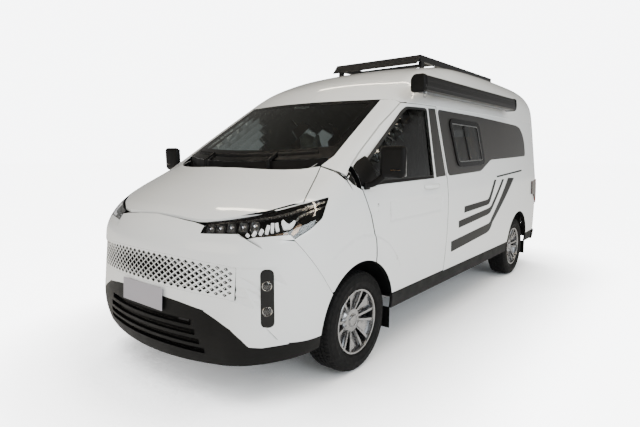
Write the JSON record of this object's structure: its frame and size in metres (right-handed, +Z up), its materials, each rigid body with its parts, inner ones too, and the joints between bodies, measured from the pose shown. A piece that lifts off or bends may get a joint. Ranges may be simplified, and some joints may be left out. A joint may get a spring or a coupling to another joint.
{
  "type": "camper van",
  "caption": "White high-roof electric camper van with perforated nose, dark side band, awning and roof rack; doors, hood, steering and wheels move.",
  "frame": {"origin": "on the ground under the middle of the bounding box", "axes": "+X forward to the nose, +Y to the left side, +Z up"},
  "size_m": [5.364, 2.5372, 2.412],
  "materials": {
    "white_paint": "gloss",
    "dark_metal": "satin",
    "steel": "satin",
    "tyre": "matte",
    "alloy": "satin",
    "black_plastic": "matte",
    "lamp": "gloss",
    "red_lamp": "gloss",
    "plate": "satin",
    "glass": "gloss",
    "seat_cloth": "matte",
    "wood": "satin"
  },
  "bodies": {
    "van": {"floor_pan": "dark_metal", "wheel_liners": "black_plastic", "battery_pack": "steel", "drive_unit": "steel", "front_subframe": "dark_metal", "rear_axle": "dark_metal", "front_bumper": "white_paint", "bumper_lower": "black_plastic", "headlamps": "lamp", "fog_lamps": "black_plastic", "plate_front": "plate", "cowl": "black_plastic", "fender_left": "white_paint", "fender_right": "white_paint", "windscreen": "glass", "roof": "white_paint", "body_side_left": "white_paint", "body_side_right": "white_paint", "sliding_door": "white_paint", "side_windows": "glass", "tail_lamps": "red_lamp", "rear_bumper": "black_plastic", "sill_cladding": "black_plastic", "mud_flaps": "black_plastic", "awning": "black_plastic", "roof_rack": "black_plastic", "seats_front": "seat_cloth", "dashboard": "black_plastic", "steering_wheel": "black_plastic", "cabinets": "wood", "bench_bed": "seat_cloth"},
    "hood": {"hood": "white_paint"},
    "door_left": {"door_left": "white_paint", "door_glass_left": "glass", "mirror_left": "black_plastic"},
    "door_right": {"door_right": "white_paint", "door_glass_right": "glass", "mirror_right": "black_plastic"},
    "rear_door_left": {"rear_door_left": "white_paint", "rear_glass_left": "glass"},
    "rear_door_right": {"rear_door_right": "white_paint", "rear_glass_right": "glass"},
    "knuckle_left": {"knuckle_left": "steel"},
    "knuckle_right": {"knuckle_right": "steel"},
    "wheel_front_left": {"tyre_front_left": "tyre", "rim_front_left": "alloy"},
    "wheel_front_right": {"tyre_front_right": "tyre", "rim_front_right": "alloy"},
    "wheel_rear_left": {"tyre_rear_left": "tyre", "rim_rear_left": "alloy"},
    "wheel_rear_right": {"tyre_rear_right": "tyre", "rim_rear_right": "alloy"}
  },
  "joints": [
    {"name": "steer_left", "type": "hinge", "parent": "van", "child": "knuckle_left", "pos_m": [1.662, 0.79, 0.343], "axis": [0, 0, 1], "range_deg": [-35, 35]},
    {"name": "steer_right", "type": "hinge", "parent": "van", "child": "knuckle_right", "pos_m": [1.662, -0.79, 0.343], "axis": [0, 0, 1], "range_deg": [-35, 35]},
    {"name": "spin_front_left", "type": "hinge", "parent": "knuckle_left", "child": "wheel_front_left", "pos_m": [1.662, 0.858, 0.343], "axis": [0, 1, 0], "continuous": true},
    {"name": "spin_front_right", "type": "hinge", "parent": "knuckle_right", "child": "wheel_front_right", "pos_m": [1.662, -0.858, 0.343], "axis": [0, 1, 0], "continuous": true},
    {"name": "spin_rear_left", "type": "hinge", "parent": "van", "child": "wheel_rear_left", "pos_m": [-1.704, 0.858, 0.343], "axis": [0, 1, 0], "continuous": true},
    {"name": "spin_rear_right", "type": "hinge", "parent": "van", "child": "wheel_rear_right", "pos_m": [-1.704, -0.858, 0.343], "axis": [0, 1, 0], "continuous": true},
    {"name": "door_left_swing", "type": "hinge", "parent": "van", "child": "door_left", "pos_m": [1.505, 0.999, 1], "axis": [0, 0, -1], "range_deg": [0, 68]},
    {"name": "door_right_swing", "type": "hinge", "parent": "van", "child": "door_right", "pos_m": [1.505, -0.999, 1], "axis": [0, 0, 1], "range_deg": [0, 68]},
    {"name": "hood_lift", "type": "hinge", "parent": "van", "child": "hood", "pos_m": [1.77, 0, 1.398], "axis": [0, -1, 0], "range_deg": [0, 50]},
    {"name": "rear_door_left_swing", "type": "hinge", "parent": "van", "child": "rear_door_left", "pos_m": [-2.642, 0.799, 1.2], "axis": [0, 0, -1], "range_deg": [0, 165]},
    {"name": "rear_door_right_swing", "type": "hinge", "parent": "van", "child": "rear_door_right", "pos_m": [-2.642, -0.799, 1.2], "axis": [0, 0, 1], "range_deg": [0, 165]}
  ],
  "couplings": [
    {"joint": "steer_right", "follows": "steer_left", "ratio": 1}
  ]
}
